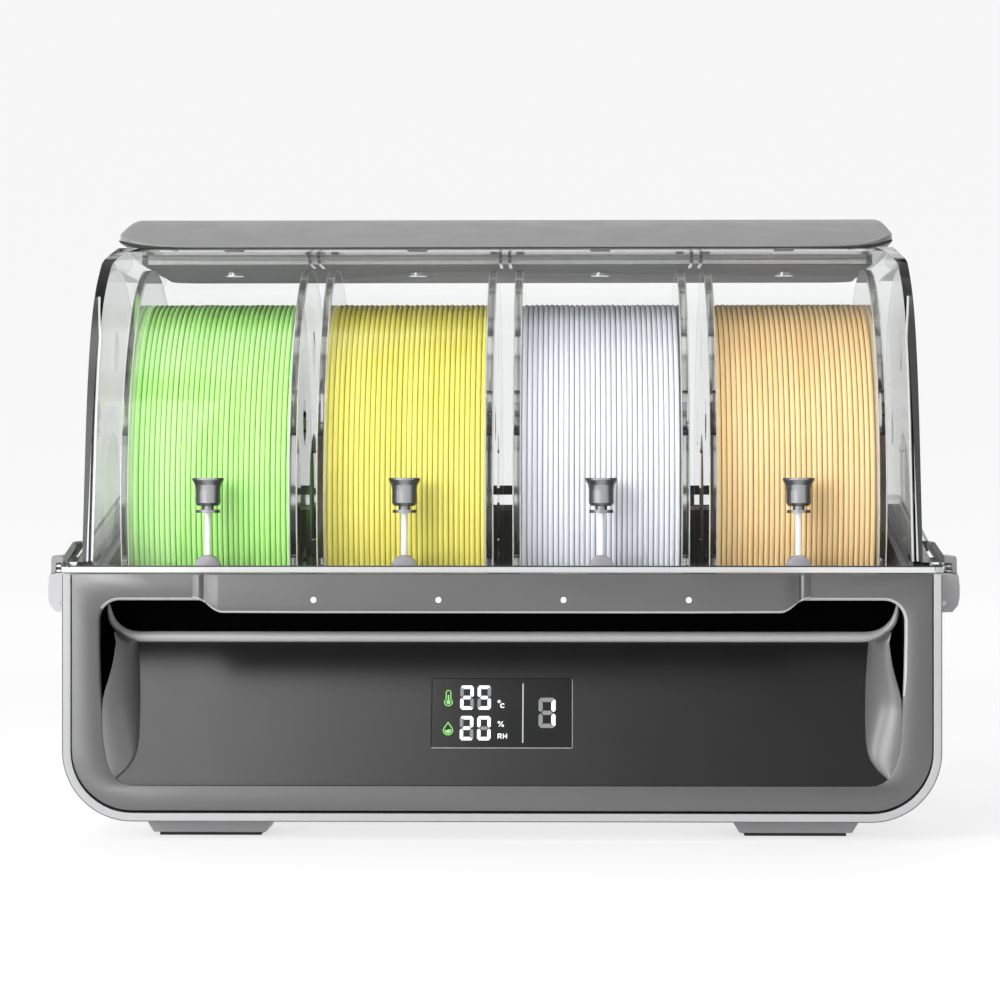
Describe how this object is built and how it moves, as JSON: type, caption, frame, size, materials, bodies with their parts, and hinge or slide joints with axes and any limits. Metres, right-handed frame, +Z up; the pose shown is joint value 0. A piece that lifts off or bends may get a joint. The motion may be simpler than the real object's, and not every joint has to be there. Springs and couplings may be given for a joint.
{
  "type": "filament dryer box",
  "caption": "Countertop dryer box that holds filament spools on rollers under a clear hinged lid with side latches, a leaning display panel and guide-tube inlets.",
  "frame": {"origin": "centre of the footprint on the table", "axes": "+X to the right as seen from the front, +Y to the rear, +Z up"},
  "size_m": [0.3796, 0.3, 0.264],
  "materials": {
    "shell_silver": "satin",
    "bezel_grey": "satin",
    "panel_grey": "satin",
    "bar_grey": "satin",
    "screen_black": "gloss",
    "light_white": "diffuse",
    "board_green": "solder mask",
    "tray_grey": "fine texture",
    "seal_rubber": "matt",
    "rear_grey": "fine texture",
    "socket_black": "matt",
    "foot_grey": "satin",
    "pad_rubber": "matt",
    "feeder_black": "matt",
    "motor_steel": "brushed",
    "tube_white": "translucent",
    "funnel_black": "gloss",
    "seat_grey": "satin",
    "fitting_blue": "satin",
    "heater_aluminium": "finned",
    "fan_black": "satin",
    "box_clear": "translucent",
    "axle_steel": "ground",
    "roller_rubber": "matt",
    "gear_brass": "turned",
    "wheel_steel": "ground",
    "spool_clear": "clear plastic",
    "filament_green": "satin",
    "filament_yellow": "satin",
    "filament_silver": "satin",
    "filament_orange": "satin",
    "lid_clear": "clear plastic",
    "top_grey": "satin",
    "plate_grey": "satin",
    "screw_steel": "zinc",
    "latch_silver": "satin",
    "latch_dark": "satin"
  },
  "bodies": {
    "base": {"outer_shell": "shell_silver", "front_bezel": "bezel_grey", "display_panel": "panel_grey", "screen_glass": "screen_black", "display_board": "board_green", "light_bar": "bar_grey", "status_light_pipes": "light_white", "inner_tray": "tray_grey", "rim_seal": "seal_rubber", "rear_panel": "rear_grey", "power_socket": "socket_black", "feet": "foot_grey", "foot_pads": "pad_rubber", "feeder_housings": "feeder_black", "feeder_motors": "motor_steel", "guide_tubes": "tube_white", "inlet_funnels": "funnel_black", "inlet_seats": "seat_grey", "outlet_couplers": "fitting_blue", "main_board": "board_green", "fan_frame": "fan_black", "heater": "heater_aluminium", "desiccant_boxes": "box_clear", "humidity_sensor": "board_green", "roller_axles": "axle_steel", "pivot_pins": "axle_steel"},
    "lid": {"lid_shell": "lid_clear", "top_panel": "top_grey", "lid_inner_plate": "plate_grey", "lid_screws": "screw_steel", "lid_hinge_bar": "plate_grey"},
    "latch_left": {"latch_lever_left": "latch_silver", "latch_hook_left": "latch_dark"},
    "latch_right": {"latch_lever_right": "latch_silver", "latch_hook_right": "latch_dark"},
    "fan": {"fan_rotor": "fan_black"},
    "spool_1": {"spool_1": "spool_clear", "filament_1": "filament_green"},
    "front_roller_1": {"front_roller_1": "roller_rubber"},
    "rear_roller_1": {"rear_roller_1": "roller_rubber"},
    "drive_gear_1": {"drive_gear_1": "gear_brass"},
    "pinch_wheel_1": {"pinch_wheel_1": "wheel_steel"},
    "spool_2": {"spool_2": "spool_clear", "filament_2": "filament_yellow"},
    "front_roller_2": {"front_roller_2": "roller_rubber"},
    "rear_roller_2": {"rear_roller_2": "roller_rubber"},
    "drive_gear_2": {"drive_gear_2": "gear_brass"},
    "pinch_wheel_2": {"pinch_wheel_2": "wheel_steel"},
    "spool_3": {"spool_3": "spool_clear", "filament_3": "filament_silver"},
    "front_roller_3": {"front_roller_3": "roller_rubber"},
    "rear_roller_3": {"rear_roller_3": "roller_rubber"},
    "drive_gear_3": {"drive_gear_3": "gear_brass"},
    "pinch_wheel_3": {"pinch_wheel_3": "wheel_steel"},
    "spool_4": {"spool_4": "spool_clear", "filament_4": "filament_orange"},
    "front_roller_4": {"front_roller_4": "roller_rubber"},
    "rear_roller_4": {"rear_roller_4": "roller_rubber"},
    "drive_gear_4": {"drive_gear_4": "gear_brass"},
    "pinch_wheel_4": {"pinch_wheel_4": "wheel_steel"}
  },
  "joints": [
    {"name": "lid_hinge", "type": "hinge", "parent": "base", "child": "lid", "pos_m": [0, 0.1445, 0.1395], "axis": [-1, 0, 0], "range_deg": [0, 92]},
    {"name": "latch_left_hinge", "type": "hinge", "parent": "base", "child": "latch_left", "pos_m": [-0.1835, -0.095, 0.096], "axis": [0, -1, 0], "range_deg": [0, 95]},
    {"name": "latch_right_hinge", "type": "hinge", "parent": "base", "child": "latch_right", "pos_m": [0.1835, -0.095, 0.096], "axis": [0, 1, 0], "range_deg": [0, 95]},
    {"name": "fan_spin", "type": "hinge", "parent": "base", "child": "fan", "pos_m": [0, 0.129, 0.06], "axis": [0, 1, 0], "continuous": true},
    {"name": "spool_1_spin", "type": "hinge", "parent": "base", "child": "spool_1", "pos_m": [-0.123, -0.009, 0.141], "axis": [1, 0, 0], "continuous": true},
    {"name": "front_roller_1_spin", "type": "hinge", "parent": "base", "child": "front_roller_1", "pos_m": [-0.123, -0.07169, 0.05147], "axis": [1, 0, 0], "continuous": true},
    {"name": "rear_roller_1_spin", "type": "hinge", "parent": "base", "child": "rear_roller_1", "pos_m": [-0.123, 0.05369, 0.05147], "axis": [1, 0, 0], "continuous": true},
    {"name": "drive_gear_1_spin", "type": "hinge", "parent": "base", "child": "drive_gear_1", "pos_m": [-0.123, -0.1035, 0.05], "axis": [1, 0, 0], "continuous": true},
    {"name": "pinch_wheel_1_spin", "type": "hinge", "parent": "base", "child": "pinch_wheel_1", "pos_m": [-0.123, -0.1145, 0.05], "axis": [1, 0, 0], "continuous": true},
    {"name": "spool_2_spin", "type": "hinge", "parent": "base", "child": "spool_2", "pos_m": [-0.041, -0.009, 0.141], "axis": [1, 0, 0], "continuous": true},
    {"name": "front_roller_2_spin", "type": "hinge", "parent": "base", "child": "front_roller_2", "pos_m": [-0.041, -0.07169, 0.05147], "axis": [1, 0, 0], "continuous": true},
    {"name": "rear_roller_2_spin", "type": "hinge", "parent": "base", "child": "rear_roller_2", "pos_m": [-0.041, 0.05369, 0.05147], "axis": [1, 0, 0], "continuous": true},
    {"name": "drive_gear_2_spin", "type": "hinge", "parent": "base", "child": "drive_gear_2", "pos_m": [-0.041, -0.1035, 0.05], "axis": [1, 0, 0], "continuous": true},
    {"name": "pinch_wheel_2_spin", "type": "hinge", "parent": "base", "child": "pinch_wheel_2", "pos_m": [-0.041, -0.1145, 0.05], "axis": [1, 0, 0], "continuous": true},
    {"name": "spool_3_spin", "type": "hinge", "parent": "base", "child": "spool_3", "pos_m": [0.041, -0.009, 0.141], "axis": [1, 0, 0], "continuous": true},
    {"name": "front_roller_3_spin", "type": "hinge", "parent": "base", "child": "front_roller_3", "pos_m": [0.041, -0.07169, 0.05147], "axis": [1, 0, 0], "continuous": true},
    {"name": "rear_roller_3_spin", "type": "hinge", "parent": "base", "child": "rear_roller_3", "pos_m": [0.041, 0.05369, 0.05147], "axis": [1, 0, 0], "continuous": true},
    {"name": "drive_gear_3_spin", "type": "hinge", "parent": "base", "child": "drive_gear_3", "pos_m": [0.041, -0.1035, 0.05], "axis": [1, 0, 0], "continuous": true},
    {"name": "pinch_wheel_3_spin", "type": "hinge", "parent": "base", "child": "pinch_wheel_3", "pos_m": [0.041, -0.1145, 0.05], "axis": [1, 0, 0], "continuous": true},
    {"name": "spool_4_spin", "type": "hinge", "parent": "base", "child": "spool_4", "pos_m": [0.123, -0.009, 0.141], "axis": [1, 0, 0], "continuous": true},
    {"name": "front_roller_4_spin", "type": "hinge", "parent": "base", "child": "front_roller_4", "pos_m": [0.123, -0.07169, 0.05147], "axis": [1, 0, 0], "continuous": true},
    {"name": "rear_roller_4_spin", "type": "hinge", "parent": "base", "child": "rear_roller_4", "pos_m": [0.123, 0.05369, 0.05147], "axis": [1, 0, 0], "continuous": true},
    {"name": "drive_gear_4_spin", "type": "hinge", "parent": "base", "child": "drive_gear_4", "pos_m": [0.123, -0.1035, 0.05], "axis": [1, 0, 0], "continuous": true},
    {"name": "pinch_wheel_4_spin", "type": "hinge", "parent": "base", "child": "pinch_wheel_4", "pos_m": [0.123, -0.1145, 0.05], "axis": [1, 0, 0], "continuous": true}
  ],
  "couplings": [
    {"joint": "front_roller_1_spin", "follows": "spool_1_spin", "ratio": -11.111},
    {"joint": "rear_roller_1_spin", "follows": "spool_1_spin", "ratio": -11.111},
    {"joint": "pinch_wheel_1_spin", "follows": "drive_gear_1_spin", "ratio": -2},
    {"joint": "front_roller_2_spin", "follows": "spool_2_spin", "ratio": -11.111},
    {"joint": "rear_roller_2_spin", "follows": "spool_2_spin", "ratio": -11.111},
    {"joint": "pinch_wheel_2_spin", "follows": "drive_gear_2_spin", "ratio": -2},
    {"joint": "front_roller_3_spin", "follows": "spool_3_spin", "ratio": -11.111},
    {"joint": "rear_roller_3_spin", "follows": "spool_3_spin", "ratio": -11.111},
    {"joint": "pinch_wheel_3_spin", "follows": "drive_gear_3_spin", "ratio": -2},
    {"joint": "front_roller_4_spin", "follows": "spool_4_spin", "ratio": -11.111},
    {"joint": "rear_roller_4_spin", "follows": "spool_4_spin", "ratio": -11.111},
    {"joint": "pinch_wheel_4_spin", "follows": "drive_gear_4_spin", "ratio": -2}
  ]
}
